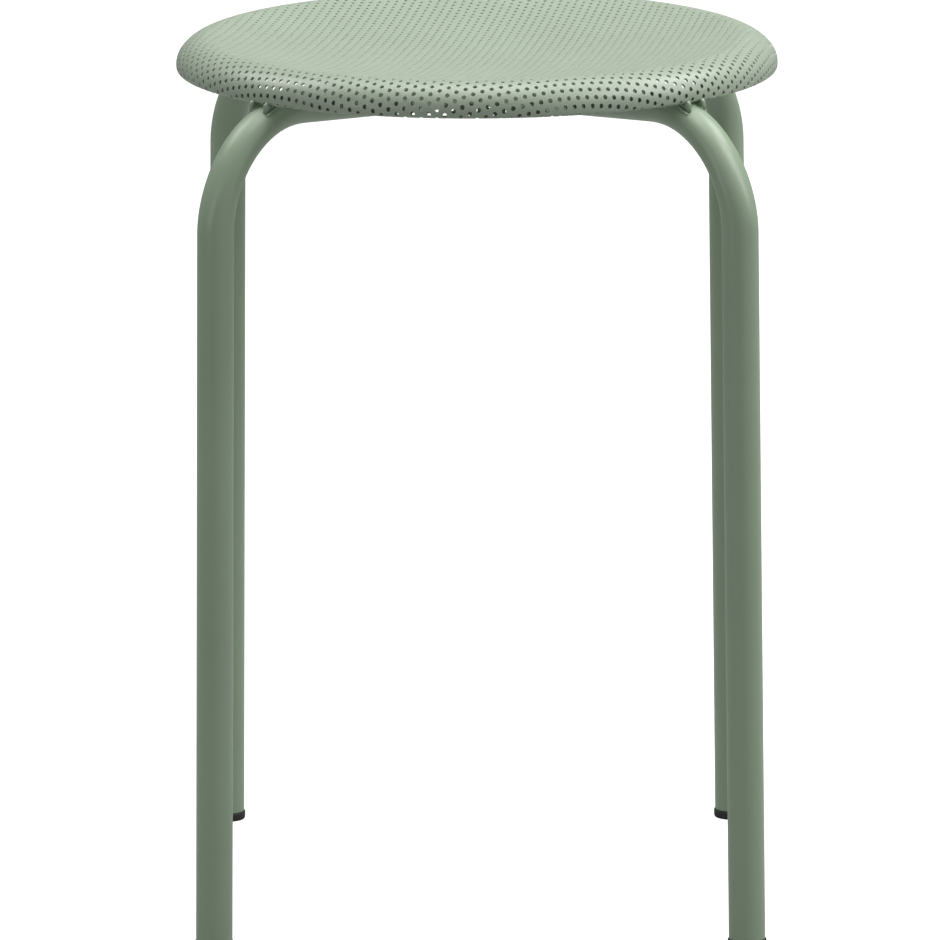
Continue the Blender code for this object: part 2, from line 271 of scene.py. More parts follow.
def pan_shape():
    """What follows from the sizes of the seat pan, some of it measured out along the flat blank.

    Its outside is a chain of arcs from the middle of the dish to the end of the hem. Each has the
    reach at which it starts, its centre, its radius, which is negative for a hollow, and the way
    that it faces at its start, as an angle up from straight outwards.
    """
    seat = in_use().seat
    radius = seat.diameter / 2
    side_centre = radius - seat.side_radius
    top_centre = side_centre - (seat.top_radius - seat.side_radius) * math.cos(seat.rim_shoulder)
    side_rise = (seat.top_radius - seat.side_radius) * math.sin(seat.rim_shoulder)
    side_level = seat.height - seat.top_radius + side_rise
    slope = 2 * math.atan(seat.dish_depth / top_centre)
    sphere = top_centre / math.sin(slope) - seat.top_radius
    hem_curve = seat.side_radius - 2 * seat.hem_fold
    centre, level, facing, reach = 0.0, seat.height - seat.dish_depth + sphere, math.pi / 2, 0.0
    arcs = []
    for curve, turn in ((-sphere, slope),
                        (seat.top_radius, math.pi / 2 + slope - seat.rim_shoulder),
                        (seat.side_radius, seat.rim_shoulder + seat.hem_start),
                        (seat.hem_fold, math.pi),
                        (-hem_curve, seat.hem_start + seat.hem_rise)):
        if arcs:
            step = arcs[-1].curve - curve
            centre += step * math.cos(facing)
            level += step * math.sin(facing)
        arcs.append(SimpleNamespace(start=reach, end=reach + abs(curve) * turn, centre=centre,
                                    level=level, curve=curve, facing=facing))
        reach = arcs[-1].end
        facing -= math.copysign(turn, curve)
    dish, top, side, fold, hem = arcs
    return SimpleNamespace(radius=radius, side_centre=side_centre, side_level=side_level,
                           sphere=sphere, arcs=arcs, dish=dish, top=top, side=side, fold=fold, hem=hem)


def on_blank(reach):
    """Where a reach along the finished sheet lies on the flat blank, before the rim is drawn longer."""
    start = pan_shape().dish.end
    return min(reach, start) + max(reach - start, 0) / (1 + in_use().seat.rim_stretch)


def hoop_shape():
    """What follows from the sizes of the hoops, in their own upright plane."""
    seat, tubes, caps, pan = in_use().seat, in_use().frame, in_use().caps, pan_shape()
    radius = tubes.tube / 2
    outside = tubes.bend_radius + radius
    bend_start = pan.radius + tubes.leg_outset
    bend_centre = bend_start - tubes.bend_radius * math.cos(tubes.leg_splay)
    inside = seat.side_radius - seat.sheet
    seating = pan.side_centre + inside * math.cos(seat.rim_tuck)
    seating_height = pan.side_level - inside * math.sin(seat.rim_tuck) - GAP
    bend_height = seating_height - math.sqrt(outside ** 2 - (seating - bend_centre) ** 2)
    rise = pan.dish.level - bend_height
    touch = (pan.sphere + seat.sheet + tubes.arm_clearance + outside) / math.hypot(bend_centre, rise)
    dip = math.atan2(bend_centre, rise) - math.acos(touch)
    arm_start = bend_centre - tubes.bend_radius * math.sin(dip)
    arm_end = tubes.crown_radius * math.sin(dip)
    leg_top = bend_height + tubes.bend_radius * math.sin(tubes.leg_splay)
    return SimpleNamespace(
        radius=radius, bend_centre=bend_centre, bend_height=bend_height, seating=seating, dip=dip,
        bend_turn=math.pi / 2 + dip - tubes.leg_splay,
        arm_length=(arm_start - arm_end) / math.cos(dip),
        crown_height=(bend_height - bend_centre * math.tan(dip)
                      + (tubes.bend_radius + tubes.crown_radius) / math.cos(dip)),
        leg_foot=bend_start + leg_top * math.tan(tubes.leg_splay),
        leg_length=leg_top / math.cos(tubes.leg_splay) - caps.head - GAP)


def only(kind, geom):
    """The parts of one kind, such as points, out of what a mesh operator gives back."""
    return [item for item in geom if isinstance(item, kind)]


def everything(bm):
    """All the points, edges and faces of a mesh."""
    return bm.verts[:] + bm.edges[:] + bm.faces[:]


def turned(outline, segments):
    """Turns an outline of radius and height, from axis to axis, round the upright axis."""
    bm = bmesh.new()
    verts = [bm.verts.new((radius, 0, height)) for radius, height in outline]
    edges = [bm.edges.new(pair) for pair in zip(verts, verts[1:])]
    bmesh.ops.spin(bm, geom=verts + edges, cent=(0, 0, 0), axis=(0, 0, 1),
                   angle=math.tau, steps=segments, use_merge=True)
    bmesh.ops.remove_doubles(bm, verts=bm.verts, dist=SAME_PLACE)
    bmesh.ops.recalc_face_normals(bm, faces=bm.faces)
    return bm


def arc(centre, height, radius, start, end, steps):
    """Points on an arc in the radius and height plane, angles measured up from straight outwards."""
    angles = [start + (end - start) * step / steps for step in range(steps + 1)]
    return [(centre + radius * math.cos(angle), height + radius * math.sin(angle)) for angle in angles]


def made(name, bm, material=None, turn=0.0):
    """Makes an object of a mesh, with its turn about the upright axis in the mesh."""
    bmesh.ops.rotate(bm, verts=bm.verts, cent=(0, 0, 0), matrix=Matrix.Rotation(turn, 3, "Z"))
    mesh = bpy.data.meshes.new(name)
    bm.to_mesh(mesh)
    bm.free()
    mesh.shade_smooth()
    mesh.set_sharp_from_angle(angle=SHARP)
    if material:
        mesh.materials.append(material)
    item = bpy.data.objects.new(name, mesh)
    bpy.context.scene.collection.objects.link(item)
    return item


def trimmed(item, cutter, operation="DIFFERENCE"):
    """Cuts one object with another, for good."""
    cut = item.modifiers.new(cutter.name, "BOOLEAN")
    cut.operation = operation
    cut.solver = "EXACT"
    cut.object = cutter
    settled = item.evaluated_get(bpy.context.evaluated_depsgraph_get())
    mesh = bpy.data.meshes.new_from_object(settled)
    item.modifiers.clear()
    item.data = mesh


def thrown_away(item):
    """Removes a shape that was only there to cut with."""
    bpy.data.objects.remove(item, do_unlink=True)


def fitted(piece, slot, *nodes):
    """Puts a finished piece on the stool, in place of the plain solids that it stands for."""
    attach(piece, BODY)
    if nodes:
        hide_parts(*nodes)


def node_group(name, inputs, outputs):
    """An empty shader group with its sockets, and its input and output nodes."""
    group = bpy.data.node_groups.new(name, "ShaderNodeTree")
    for title, kind, default in inputs:
        socket = group.interface.new_socket(title, in_out="INPUT", socket_type=kind)
        socket.default_value = default
    for title, kind in outputs:
        group.interface.new_socket(title, in_out="OUTPUT", socket_type=kind)
    return group, group.nodes.new("NodeGroupInput"), group.nodes.new("NodeGroupOutput")


def math_node(tree, operation, first, second, third=None):
    """Arithmetic on sockets or plain numbers."""
    node = tree.nodes.new("ShaderNodeMath")
    node.operation = operation
    for place, value in enumerate((first, second, third)):
        if isinstance(value, bpy.types.NodeSocket):
            tree.links.new(value, node.inputs[place])
        elif value is not None:
            node.inputs[place].default_value = value
    return node.outputs[0]


def noise_node(tree, vector, scale, detail, roughness=0.5):
    """Cloudy noise of so many waves to a metre, from a socket or a plain number."""
    node = tree.nodes.new("ShaderNodeTexNoise")
    node.inputs["Detail"].default_value = detail
    node.inputs["Roughness"].default_value = roughness
    tree.links.new(vector, node.inputs["Vector"])
    if isinstance(scale, bpy.types.NodeSocket):
        tree.links.new(scale, node.inputs["Scale"])
    else:
        node.inputs["Scale"].default_value = scale
    return node.outputs["Fac"]


def powder_coat_group():
    """Sprayed and baked powder: a fine grain, a slow drift of tone, and a painted highlight that makes it
    paler at edges.
    """
    known = bpy.data.node_groups.get("Powder Coat")
    if known:
        return known
    group, given, result = node_group(
        "Powder Coat",
        [("Coordinates", "NodeSocketVector", (0, 0, 0)),
         ("Colour", "NodeSocketColor", (0.5, 0.5, 0.5, 1)),
         ("Roughness", "NodeSocketFloat", 0.5),
         ("Mottle", "NodeSocketFloat", 0.03),
         ("Grain Scale", "NodeSocketFloat", 1600.0),
         ("Edge", "NodeSocketFloat", 0.0)],
        [("Colour", "NodeSocketColor"),
         ("Roughness", "NodeSocketFloat"),
         ("Height", "NodeSocketFloat")])
    where = given.outputs["Coordinates"]
    drift = noise_node(group, where, DRIFT_WAVES, detail=3.0)
    fleck = noise_node(group, where, FLECK_WAVES, detail=1.0)
    grain = noise_node(group, where, given.outputs["Grain Scale"], detail=2.5, roughness=0.6)
    swing = math_node(group, "MULTIPLY_ADD", math_node(group, "SUBTRACT", drift, 0.5),
                      math_node(group, "MULTIPLY", given.outputs["Mottle"], DRIFT_SHARE), 1.0)
    speck = math_node(group, "MULTIPLY_ADD", math_node(group, "SUBTRACT", fleck, 0.5),
                      math_node(group, "MULTIPLY", given.outputs["Mottle"], FLECK_SHARE), swing)
    # Painted highlight: the coat is made paler near the edges of the holes, where their rims would catch
    # the light
    painted_highlight = math_node(group, "POWER", given.outputs["Edge"], PAINTED_HIGHLIGHT_FALL)
    shade = math_node(group, "MULTIPLY_ADD", painted_highlight, PAINTED_EDGE_HIGHLIGHT, speck)
    tone = group.nodes.new("ShaderNodeVectorMath")
    tone.operation = "SCALE"
    group.links.new(given.outputs["Colour"], tone.inputs[0])
    group.links.new(shade, tone.inputs["Scale"])
    group.links.new(tone.outputs["Vector"], result.inputs["Colour"])
    rough = math_node(group, "MULTIPLY_ADD", math_node(group, "SUBTRACT", drift, 0.5),
                      ROUGHNESS_DRIFT, given.outputs["Roughness"])
    group.links.new(rough, result.inputs["Roughness"])
    group.links.new(grain, result.inputs["Height"])
    return group


def coated(name, tone, highlight_attribute=None):
    """The powder coat in one colour."""
    finishes = in_use().finishes
    material = bpy.data.materials.new(name)
    material.use_nodes = True
    material.diffuse_color = (*tone, 1.0)
    tree = material.node_tree
    shader = tree.nodes["Principled BSDF"]
    coat = tree.nodes.new("ShaderNodeGroup")
    coat.node_tree = powder_coat_group()
    coat.inputs["Colour"].default_value = (*tone, 1.0)
    coat.inputs["Roughness"].default_value = finishes.roughness
    coat.inputs["Mottle"].default_value = finishes.mottle
    coat.inputs["Grain Scale"].default_value = 1.0 / finishes.grain
    place = tree.nodes.new("ShaderNodeTexCoord")
    tree.links.new(place.outputs["Object"], coat.inputs["Coordinates"])
    # A painted highlight, paler where the attribute marks the edges of the holes
    if highlight_attribute:
        edge = tree.nodes.new("ShaderNodeAttribute")
        edge.attribute_name = highlight_attribute
        tree.links.new(edge.outputs["Fac"], coat.inputs["Edge"])
    bump = tree.nodes.new("ShaderNodeBump")
    bump.inputs["Distance"].default_value = finishes.grain_depth
    tree.links.new(coat.outputs["Height"], bump.inputs["Height"])
    tree.links.new(coat.outputs["Colour"], shader.inputs["Base Color"])
    tree.links.new(coat.outputs["Roughness"], shader.inputs["Roughness"])
    tree.links.new(bump.outputs["Normal"], shader.inputs["Normal"])
    shader.inputs["Specular IOR Level"].default_value = 0.5
    return material


def moulded_plastic():
    """Matt black plastic with a fine spark-eroded texture."""
    finishes = in_use().finishes
    material = bpy.data.materials.new("Moulded Plastic")
    material.use_nodes = True
    material.diffuse_color = (*finishes.plastic, 1.0)
    tree = material.node_tree
    shader = tree.nodes["Principled BSDF"]
    place = tree.nodes.new("ShaderNodeTexCoord")
    texture = noise_node(tree, place.outputs["Object"], SPARK_WAVES, detail=2.0)
    smear = noise_node(tree, place.outputs["Object"], SMEAR_WAVES, detail=3.0)
    ramp = tree.nodes.new("ShaderNodeMix")
    ramp.data_type = "RGBA"
    ramp.inputs["A"].default_value = (*(part * DARKEST for part in finishes.plastic), 1.0)
    ramp.inputs["B"].default_value = (*(part * LIGHTEST for part in finishes.plastic), 1.0)
    tree.links.new(smear, ramp.inputs["Factor"])
    tree.links.new(ramp.outputs["Result"], shader.inputs["Base Color"])
    rough = math_node(tree, "MULTIPLY_ADD", smear, ROUGHNESS_SMEAR, SMOOTHEST)
    tree.links.new(rough, shader.inputs["Roughness"])
    bump = tree.nodes.new("ShaderNodeBump")
    bump.inputs["Distance"].default_value = finishes.grain_depth
    tree.links.new(texture, bump.inputs["Height"])
    tree.links.new(bump.outputs["Normal"], shader.inputs["Normal"])
    return material


def perforated_cell(row):
    """A six-sided cell of the flat sheet, turned to its row, with a hole of the round one's area."""
    seat = in_use().seat
    bm = bmesh.new()
    # Marks the edges of the hole for the coat's painted highlight
    edge = bm.verts.layers.float.new("hole_edge_highlight")
    bmesh.ops.create_circle(bm, segments=6, radius=seat.pitch / math.sqrt(3))
    corner_turn = math.tau / seat.hole_sides
    same_area = seat.hole / 2 * math.sqrt(corner_turn / math.sin(corner_turn))
    hole = bmesh.ops.create_circle(bm, segments=seat.hole_sides, radius=same_area)["verts"]
    for vert in hole:
        vert[edge] = 1.0
    bmesh.ops.bridge_loops(bm, edges=bm.edges)
    bmesh.ops.rotate(bm, verts=bm.verts, cent=(0, 0, 0), matrix=Matrix.Rotation(row, 3, "Z"))
    return bm


def repeated(bm, row, reach):
    """Repeats one cell along two rows at sixty degrees, until the cells cover a reach all round."""
    seat = in_use().seat
    steps = [Vector((math.cos(turn), math.sin(turn), 0)) * seat.pitch
             for turn in (row - math.pi / 3, row)]
    cells = math.ceil(reach / seat.pitch / math.sin(math.pi / 3)) + 1
    corner = Vector((seat.shift_across, seat.shift_along, 0)) - (steps[0] + steps[1]) * cells
    bmesh.ops.translate(bm, verts=bm.verts, vec=corner)
    for step in steps:
        cell = everything(bm)
        for place in range(1, 2 * cells + 1):
            copy = bmesh.ops.duplicate(bm, geom=cell)["geom"]
            bmesh.ops.translate(bm, verts=only(bmesh.types.BMVert, copy), vec=step * place)


def raised_to_cone(bm):
    """Lifts each point of a flat sheet by its reach, so that a level cut through it is a round one."""
    for vert in bm.verts:
        vert.co.z = vert.co.xy.length


def level_cut(bm, height, **cleared):
    """Cuts a mesh at a height, and clears what lies over or under the cut if that is asked for."""
    bmesh.ops.bisect_plane(bm, geom=everything(bm), plane_co=(0, 0, height), plane_no=(0, 0, 1),
                           **cleared)


def perforated_blank(inner, outer, creases=()):
    """A flat ring of the sheet with its holes, cut round at both reaches and creased for its fold."""
    seat = in_use().seat
    inside, outside = on_blank(inner), on_blank(outer)
    row = math.pi / 2 - seat.lean
    bm = perforated_cell(row)
    repeated(bm, row, outside)
    raised_to_cone(bm)
    waste = [face for face in bm.faces if all(vert.co.z > outside for vert in face.verts)
             or all(vert.co.z < inside for vert in face.verts)]
    bmesh.ops.delete(bm, geom=waste, context="FACES")
    bmesh.ops.remove_doubles(bm, verts=bm.verts, dist=seat.pitch / 100)
    level_cut(bm, outside, clear_outer=True)
    if inside:
        level_cut(bm, inside, clear_inner=True)
    for crease in creases:
        level_cut(bm, on_blank(crease))
    for vert in bm.verts:
        vert.co.z = 0
    return bm


def table(items, name, kind, width):
    """One property of all the points, faces or corners of a mesh, a row for each."""
    rows = np.empty((len(items), width), kind)
    items.foreach_get(name, rows.ravel())
    return rows


def pressed_surface(flat):
    """Where the points of the flat blank come to lie, and the directions of the surface there.

    These are straight out and sideways as seen from above, the normal, and along and across the sheet.
    """
    seat, pan = in_use().seat, pan_shape()
    reach = np.maximum(np.hypot(flat[:, 0], flat[:, 1]), SHORTEST)
    outwards = flat[:, :2] / reach[:, None]
    sideways = np.stack([-outwards[:, 1], outwards[:, 0]], 1)
    reach += np.maximum(reach - pan.dish.end, 0) * seat.rim_stretch
    part = np.searchsorted([stretch.start for stretch in pan.arcs[1:]], reach)
    start, centre, level, curve, facing = (
        np.array([getattr(stretch, name) for stretch in pan.arcs])[part]
        for name in ("start", "centre", "level", "curve", "facing"))
    lean = facing - (reach - start) / curve
    radius = centre + (curve + flat[:, 2]) * np.cos(lean)
    height = level + (curve + flat[:, 2]) * np.sin(lean)
    return SimpleNamespace(
        place=np.column_stack([outwards * radius[:, None], height]),
        outwards=outwards, sideways=sideways,
        normal=np.column_stack([outwards * np.cos(lean)[:, None], np.sin(lean)]),
        along=np.column_stack([outwards * np.sin(lean)[:, None], -np.cos(lean)]),
        across=np.column_stack([sideways, np.zeros(len(flat))]))


def hole_shading(flat, surface, walls):
    """The way that the walls of the holes face, turned to the faces of the sheet by the soft coat."""
    seat = in_use().seat
    bore = (surface.along * np.sum(walls[:, :2] * surface.outwards, 1)[:, None]
            + surface.across * np.sum(walls[:, :2] * surface.sideways, 1)[:, None])
    top_or_bottom = np.where(flat[:, 2] > -seat.sheet / 2, 1.0, -1.0)[:, None]
    bore += surface.normal * top_or_bottom * seat.hole_softness
    return bore / np.linalg.norm(bore, axis=1)[:, None]


def pressed(mesh):
    """Presses the flat blank to its dish, rolls its rim, folds its hem and shades it as one surface."""
    flat = table(mesh.vertices, "co", np.float32, 3).astype(float)
    upright = table(mesh.polygons, "normal", np.float32, 3)
    lengths = table(mesh.polygons, "loop_total", np.int32, 1)[:, 0]
    owners = table(mesh.loops, "vertex_index", np.int32, 1)[:, 0]
    surface = pressed_surface(flat)
    mesh.vertices.foreach_set("co", surface.place.astype(np.float32).ravel())

    up = np.repeat(upright, lengths, axis=0).astype(float)
    level_face = np.abs(up[:, 2]) > 0.5
    walls = np.zeros((len(flat), 3))
    np.add.at(walls, owners[~level_face], up[~level_face])
    walls /= np.maximum(np.linalg.norm(walls, axis=1), SHORTEST)[:, None]
    bore = hole_shading(flat, surface, walls)
    shading = np.where(level_face[:, None], surface.normal[owners] * np.sign(up[:, 2:]), bore[owners])
    mesh.update()
    mesh.normals_split_custom_set(shading.tolist())


def tube_end(radius, bore, start, direction, sides):
    """The first end of a tube in the hoop's plane, as flat faces square to its direction."""
    bm = bmesh.new()
    bmesh.ops.create_circle(bm, segments=sides, radius=radius, cap_ends=not bore)
    if bore:
        bmesh.ops.create_circle(bm, segments=sides, radius=bore)
        bmesh.ops.bridge_loops(bm, edges=bm.edges)
    aim = Vector((0, 0, 1)).rotation_difference(direction).to_matrix().to_4x4()
    bmesh.ops.transform(bm, matrix=Matrix.Translation(start) @ aim, verts=bm.verts)
    return bm, everything(bm)


def run(bm, end, travel):
    """Draws the end of a tube on in a straight line."""
    drawn = bmesh.ops.extrude_face_region(bm, geom=end)["geom"]
    bmesh.ops.translate(bm, verts=only(bmesh.types.BMVert, drawn), vec=travel)
    return drawn


def bend(bm, end, centre, angle, steps):
    """Draws the end of a tube on round a centre in the hoop's plane, inwards for a positive angle."""
    drawn = bmesh.ops.spin(bm, geom=end, cent=centre, axis=(0, -1, 0), angle=angle, steps=steps)
    return drawn["geom_last"]


def flattened(bm):
    """Flattens the tube round its bends, most over the outside, and widens it there."""
    tubes, hoop = in_use().frame, hoop_shape()
    # From a little under the bend to the start of its arm
    whole_bend = math.pi / 2 + hoop.dip + tubes.leg_splay
    for vert in bm.verts:
        across = abs(vert.co.x) - hoop.bend_centre
        up = vert.co.z - hoop.bend_height
        way = (math.atan2(up, across) + tubes.leg_splay) / whole_bend
        if 0 < way < 1:
            depth = math.hypot(across, up)
            outside = depth - tubes.bend_radius
            share = min(1.0, tubes.flat_onset * min(way, 1 - way))
            share *= share * (3 - 2 * share)
            flat = share * (tubes.flat_outside if outside > 0 else tubes.flat_inside)
            new_depth = tubes.bend_radius + outside * (1 - flat)
            vert.co.x = math.copysign(hoop.bend_centre + across * new_depth / depth, vert.co.x)
            vert.co.z = hoop.bend_height + up * new_depth / depth
            vert.co.y *= 1 + share * (tubes.flat_outside + tubes.flat_inside) / 4
    return bm


def leg_and_arm(radius, bore):
    """One leg from its foot up round the bend, and its arm down to the crown over the middle."""
    tubes, caps, hoop = in_use().frame, in_use().caps, hoop_shape()
    up = Vector((-math.sin(tubes.leg_splay), 0, math.cos(tubes.leg_splay)))
    foot = Vector((hoop.leg_foot, 0, 0)) + up * (caps.head + GAP)
    bm, end = tube_end(radius, bore, foot, up, tubes.sides)
    end = run(bm, end, up * hoop.leg_length)
    end = bend(bm, end, (hoop.bend_centre, 0, hoop.bend_height), hoop.bend_turn, tubes.bend_steps)
    end = run(bm, end, Vector((-math.cos(hoop.dip), 0, -math.sin(hoop.dip))) * hoop.arm_length)
    return bm, end


def whole_hoop(radius, bore):
    """Two legs and the arm across, which dips to a gentle bend over the middle."""
    tubes, hoop = in_use().frame, hoop_shape()
    bm, end = leg_and_arm(radius, bore)
    end = bend(bm, end, (0, 0, hoop.crown_height), -2 * hoop.dip, 2 * tubes.crown_steps)
    end = run(bm, end, Vector((-math.cos(hoop.dip), 0, math.sin(hoop.dip))) * hoop.arm_length)
    end = bend(bm, end, (-hoop.bend_centre, 0, hoop.bend_height), hoop.bend_turn, tubes.bend_steps)
    down = Vector((-math.sin(tubes.leg_splay), 0, -math.cos(tubes.leg_splay)))
    run(bm, end, down * hoop.leg_length)
    bmesh.ops.recalc_face_normals(bm, faces=bm.faces)
    return flattened(bm)


def half_hoop(radius, bore):
    """One leg and its arm as far as the middle of the crown."""
    tubes, hoop = in_use().frame, hoop_shape()
    bm, end = leg_and_arm(radius, bore)
    bend(bm, end, (0, 0, hoop.crown_height), -hoop.dip, tubes.crown_steps)
    bmesh.ops.recalc_face_normals(bm, faces=bm.faces)
    return flattened(bm)


def thickened(bm, thickness):
    """Gives a flat sheet its thickness, downwards."""
    below = bmesh.ops.extrude_face_region(bm, geom=everything(bm), use_keep_orig=True)["geom"]
    bmesh.ops.translate(bm, verts=only(bmesh.types.BMVert, below), vec=(0, 0, -thickness))
    bmesh.ops.recalc_face_normals(bm, faces=bm.faces)
    if bm.calc_volume(signed=True) < 0:
        bmesh.ops.reverse_faces(bm, faces=bm.faces)


class STOOL_OT_seat_pan(bpy.types.Operator):
    """Presses the perforated seat pan"""

    bl_idname = "stool.seat_pan"
    bl_label = "Seat Pan"

    def execute(self, context):
        seat, pan = in_use().seat, pan_shape()
        # The pan's coat has a painted highlight round the edges of its holes
        finish = coated("Pan Powder Coat With Painted Highlights", in_use().finishes.seat, "hole_edge_highlight")
        fold = [pan.fold.start + (pan.fold.end - pan.fold.start) * step / seat.fold_steps
                for step in range(1, seat.fold_steps + 1)]
        parts = {
            "seat_pan_perforated": perforated_blank(0, pan.side.end),
            "seat_pan_hem": perforated_blank(pan.side.end, pan.hem.end, fold),
        }
        for name, bm in parts.items():
            thickened(bm, seat.sheet)
            part = made(name, bm, finish)
            pressed(part.data)
            fitted(part, "seat_coat", "seat_pan")
        return {"FINISHED"}


def saddle_bead():
    """The weld bead round the end of a half hoop, where it saddles on the through hoop."""
    tubes, lugs, hoop = in_use().frame, in_use().lugs, hoop_shape()
    bm = bmesh.new()
    bmesh.ops.create_circle(bm, segments=lugs.bead_sides, radius=lugs.joint_bead)
    bmesh.ops.translate(bm, verts=bm.verts, vec=(0, hoop.radius, 0))
    bmesh.ops.spin(bm, geom=everything(bm), cent=(0, 0, 0), axis=(1, 0, 0), angle=math.tau,
                   steps=tubes.sides, use_merge=True)
    bmesh.ops.remove_doubles(bm, verts=bm.verts, dist=GAP / 100)
    for vert in bm.verts:
        vert.co.x += abs(vert.co.y)
        vert.co.z += hoop.crown_height - tubes.crown_radius
    bmesh.ops.recalc_face_normals(bm, faces=bm.faces)
    return bm


class STOOL_OT_frame_tubes(bpy.types.Operator):
    """Bends the through hoop and the two half hoops that saddle on it, and welds them"""

    bl_idname = "stool.frame_tubes"
    bl_label = "Frame Tubes"

    def execute(self, context):
        tubes = in_use().frame
        finish = coated("Tube Powder Coat", in_use().finishes.tubes)
        radius = tubes.tube / 2
        bore = radius - tubes.wall
        through = made("through_hoop_tube", whole_hoop(radius, bore), finish, CORNERS["back_right"])
        fitted(through, "frame_coat", "frame_hoop")
        clear = made("hoop_clearance", whole_hoop(radius + GAP, 0), turn=CORNERS["back_right"])
        for corner in HALF_HOOPS:
            half = made(f"half_hoop_tube_{corner}", half_hoop(radius, bore), finish, CORNERS[corner])
            trimmed(half, clear)
            fitted(half, "frame_coat", f"frame_half_{corner}")
            weld = made(f"saddle_weld_{corner}", saddle_bead(), finish, CORNERS[corner])
            fitted(weld, "frame_coat")
        thrown_away(clear)
        return {"FINISHED"}


def lug_room():
    """Outline of what the pan leaves free for the lugs: under the dish, inside the hem, under its fold."""
    seat, hoop = in_use().seat, hoop_shape()
    inside = seat.sheet + GAP
    dish, top, side, fold, hem = pan_shape().arcs
    hem_radius = -hem.curve - GAP
    hem_top = seat.hem_rise + GAP / hem_radius
    outline = arc(dish.centre, dish.level, -dish.curve + inside, -math.pi / 2,
                  top.facing - math.pi, steps=12)
    outline[0] = (0, outline[0][1])
    outline += arc(top.centre, top.level, top.curve - inside, top.facing, side.facing, steps=16)[1:]
    outline += arc(side.centre, side.level, side.curve - inside, side.facing, hem_top, steps=4)[1:]
    outline += arc(hem.centre, hem.level, hem_radius, hem_top, -seat.hem_start, steps=8)
    outline += arc(fold.centre, fold.level, fold.curve + GAP, math.pi - seat.hem_start,
                   math.tau, steps=12)[1:]
    outer = hoop.seating + in_use().lugs.outwards + GAP
    return outline + [(outer, fold.level), (outer, hoop.bend_height), (0, hoop.bend_height)]


def rounded(bm, edges, radius, steps):
    """Rounds some edges of a mesh."""
    bmesh.ops.bevel(bm, geom=edges, offset=radius, segments=steps, profile=0.5, affect="EDGES",
                    material=-1)


def through_lug(edge):
    """Whether an edge runs through the thickness of a lug, and not round its face."""
    return abs(edge.verts[0].co.y - edge.verts[1].co.y) > GAP


def lug_block(side):
    """A lug before it is cut to its room, off the hoop's plane by a distance to one side."""
    tubes, lugs, hoop = in_use().frame, in_use().lugs, hoop_shape()
    inner, outer = hoop.seating - lugs.inwards, hoop.seating + lugs.outwards
    low = hoop.bend_height + math.sqrt(tubes.bend_radius ** 2 - (outer - hoop.bend_centre) ** 2)
    high = pan_shape().fold.level
    bm = bmesh.new()
    size = Matrix.Diagonal((outer - inner, lugs.thickness, high - low, 1))
    centre = Matrix.Translation(((outer + inner) / 2, side, (low + high) / 2))
    bmesh.ops.create_cube(bm, size=1, matrix=centre @ size)
    shoulder = [edge for edge in bm.edges if through_lug(edge)
                and all(vert.co.x > inner + GAP and vert.co.z > low + GAP for vert in edge.verts)]
    rounded(bm, shoulder, lugs.shoulder, steps=6)
    rounded(bm, [edge for edge in bm.edges if not through_lug(edge)], lugs.rounding, steps=3)
    return bm


def lug_bead(side):
    """A weld bead along the bend's outside, off the hoop's plane by a distance to one side."""
    tubes, lugs, hoop = in_use().frame, in_use().lugs, hoop_shape()
    start, end = hoop.seating + lugs.outwards + lugs.bead / 2, hoop.seating - lugs.inwards
    reach = tubes.bend_radius + math.sqrt(hoop.radius ** 2 - side ** 2)
    first = math.acos((start - hoop.bend_centre) / reach)
    last = math.acos((end - hoop.bend_centre) / reach)
    where = Vector((hoop.bend_centre + reach * math.cos(first), side,
                    hoop.bend_height + reach * math.sin(first)))
    along = Vector((-math.sin(first), 0, math.cos(first)))
    bm, face = tube_end(lugs.bead, 0, where, along, lugs.bead_sides)
    bend(bm, face, (hoop.bend_centre, 0, hoop.bend_height), last - first, lugs.bead_steps)
    bmesh.ops.recalc_face_normals(bm, faces=bm.faces)
    ends = [edge for edge in bm.edges if len(edge.link_faces) == 2
            and any(len(face.verts) > 4 for face in edge.link_faces)]
    rounded(bm, ends, lugs.bead * BEAD_ENDS, steps=3)
    return flattened(bm)


class STOOL_OT_seat_lugs(bpy.types.Operator):
    """Cuts the lugs that stand on the bends and reach up inside the rim"""

    bl_idname = "stool.seat_lugs"
    bl_label = "Seat Lugs"

    def execute(self, context):
        lugs, hoop = in_use().lugs, hoop_shape()
        finish = coated("Lug Powder Coat", in_use().finishes.tubes)
        spread = hoop.radius * math.sin(lugs.around)
        room = made("lug_room", turned(lug_room(), lugs.room_sides))
        for corner, turn in CORNERS.items():
            tube = made("tube_clearance", whole_hoop(hoop.radius + GAP, 0), turn=turn)
            for number, side in enumerate((-spread, spread), start=1):
                lug = made(f"seat_lug_rounded_{corner}_{number}", lug_block(side), finish, turn)
                trimmed(lug, room, "INTERSECT")
                trimmed(lug, tube)
                fitted(lug, "frame_coat", f"seat_lug_{corner}_{number}")
                for face in (-1, 1):
                    name = f"lug_weld_{corner}_{number}_{'inner' if face * side < 0 else 'outer'}"
                    weld = made(name, lug_bead(side + face * lugs.thickness / 2), finish, turn)
                    fitted(weld, "frame_coat")
            thrown_away(tube)
        thrown_away(room)
        return {"FINISHED"}


